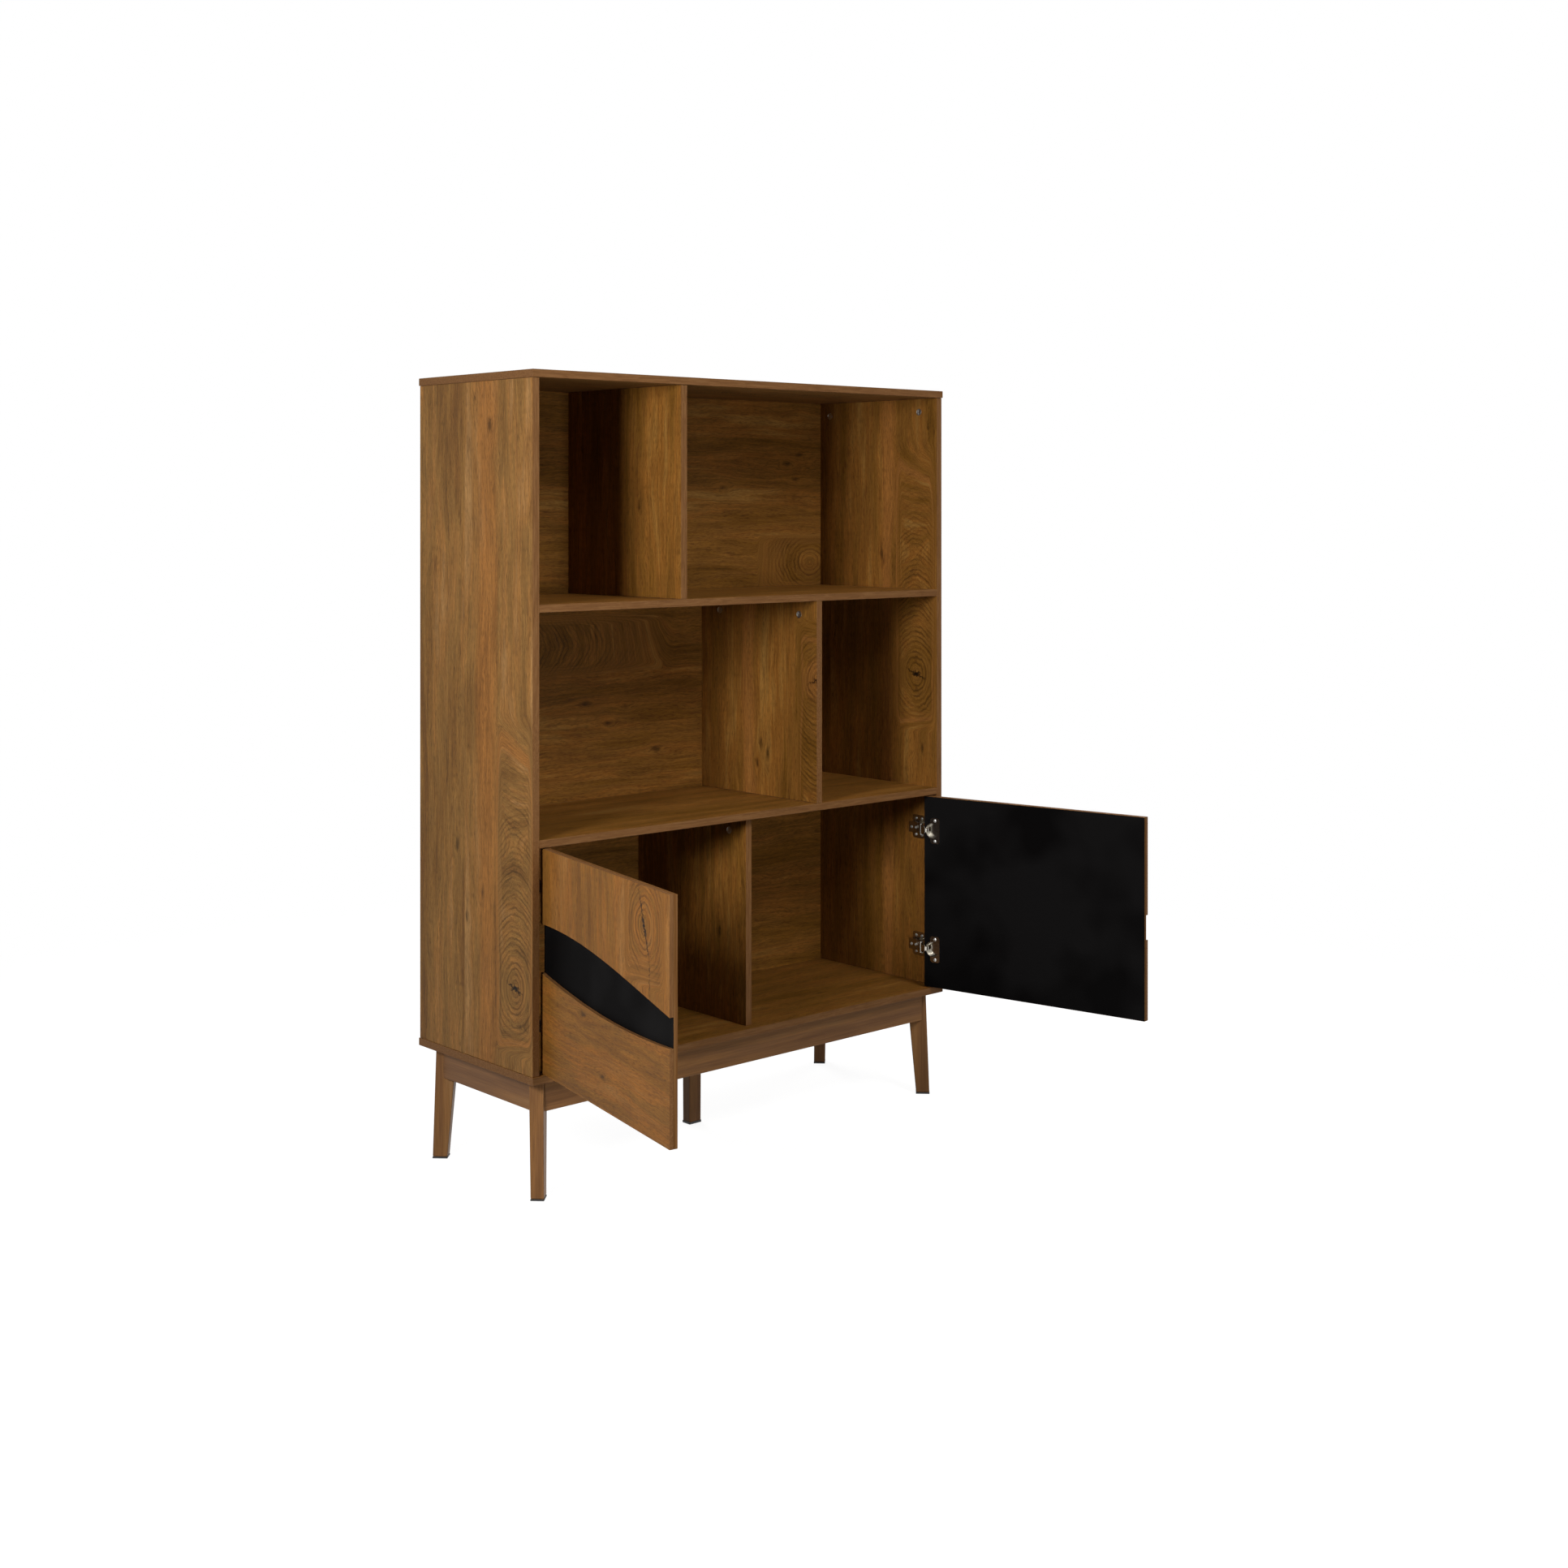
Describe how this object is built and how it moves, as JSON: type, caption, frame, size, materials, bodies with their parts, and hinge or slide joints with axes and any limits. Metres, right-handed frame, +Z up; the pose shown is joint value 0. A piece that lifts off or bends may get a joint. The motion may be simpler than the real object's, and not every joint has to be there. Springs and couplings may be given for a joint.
{
  "type": "bookcase with cabinet doors",
  "caption": "Tall oak-faced bookcase on tapered legs, open compartments with offset dividers over a cupboard whose doors carry a leaf-shaped recess.",
  "frame": {"origin": "on the floor under the middle of the case's width and depth, on the sole of the middle leg's glide", "axes": "+Z up, +X to the right seen from the front, +Y towards the back; the doors open towards -Y"},
  "size_m": [1.2648, 0.9001, 1.555],
  "materials": {
    "oak_melamine": "rustic oak print melamine, satin",
    "oak_sheet": "oak print on thin hardboard, satin",
    "leg_oak": "stained oak, satin lacquer",
    "pine_block": "raw sawn pine",
    "black_laminate": "black melamine, matt",
    "grey_plastic": "matt",
    "black_plastic": "matt",
    "nickel": "nickel plated"
  },
  "bodies": {
    "case": {"bottom_panel": "oak_melamine", "top_panel": "oak_melamine", "left_side_panel": "oak_melamine", "right_side_panel": "oak_melamine", "lower_shelf": "oak_melamine", "upper_shelf": "oak_melamine", "lower_divider": "oak_melamine", "middle_divider": "oak_melamine", "upper_divider": "oak_melamine", "front_rail": "oak_melamine", "back_rail": "oak_melamine", "left_rail": "oak_melamine", "right_rail": "oak_melamine", "lower_back_panel": "oak_sheet", "middle_back_panel": "oak_sheet", "upper_back_panel": "oak_sheet", "lower_back_strip": "grey_plastic", "upper_back_strip": "grey_plastic", "front_left_leg": "leg_oak", "front_right_leg": "leg_oak", "back_left_leg": "leg_oak", "back_right_leg": "leg_oak", "middle_leg": "leg_oak", "front_left_glide": "black_plastic", "front_right_glide": "black_plastic", "back_left_glide": "black_plastic", "back_right_glide": "black_plastic", "middle_glide": "black_plastic", "front_left_corner_block": "pine_block", "front_right_corner_block": "pine_block", "back_left_corner_block": "pine_block", "back_right_corner_block": "pine_block", "left_upper_hinge_arm": "nickel", "left_lower_hinge_arm": "nickel", "left_upper_hinge_plate": "nickel", "left_lower_hinge_plate": "nickel", "right_upper_hinge_arm": "nickel", "right_lower_hinge_arm": "nickel", "right_upper_hinge_plate": "nickel", "right_lower_hinge_plate": "nickel"},
    "left_links": {"left_upper_hinge_link": "nickel", "left_lower_hinge_link": "nickel"},
    "left_door": {"left_door_backing": "black_laminate", "left_door_upper_facing": "oak_melamine", "left_door_lower_facing": "oak_melamine", "left_upper_hinge_cup": "nickel", "left_lower_hinge_cup": "nickel"},
    "right_links": {"right_upper_hinge_link": "nickel", "right_lower_hinge_link": "nickel"},
    "right_door": {"right_door_backing": "black_laminate", "right_door_upper_facing": "oak_melamine", "right_door_lower_facing": "oak_melamine", "right_upper_hinge_cup": "nickel", "right_lower_hinge_cup": "nickel"}
  },
  "joints": [
    {"name": "left_door_swing", "type": "hinge", "parent": "case", "child": "left_door", "pos_m": [-0.52173, -0.19154, 0.4505], "axis": [0, 0, -1], "range_deg": [-102, 3]},
    {"name": "left_link_swing", "type": "hinge", "parent": "case", "child": "left_links", "pos_m": [-0.51125, -0.16786, 0.4505], "axis": [0, 0, 1], "range_deg": [-40.1, 1.3]},
    {"name": "right_door_swing", "type": "hinge", "parent": "case", "child": "right_door", "pos_m": [0.52173, -0.19154, 0.4505], "axis": [0, 0, 1], "range_deg": [-102, 3]},
    {"name": "right_link_swing", "type": "hinge", "parent": "case", "child": "right_links", "pos_m": [0.51125, -0.16786, 0.4505], "axis": [0, 0, -1], "range_deg": [-40.1, 1.3]}
  ],
  "couplings": [
    {"joint": "left_link_swing", "follows": "left_door_swing", "ratio": 0.39216},
    {"joint": "right_link_swing", "follows": "right_door_swing", "ratio": 0.39216}
  ]
}
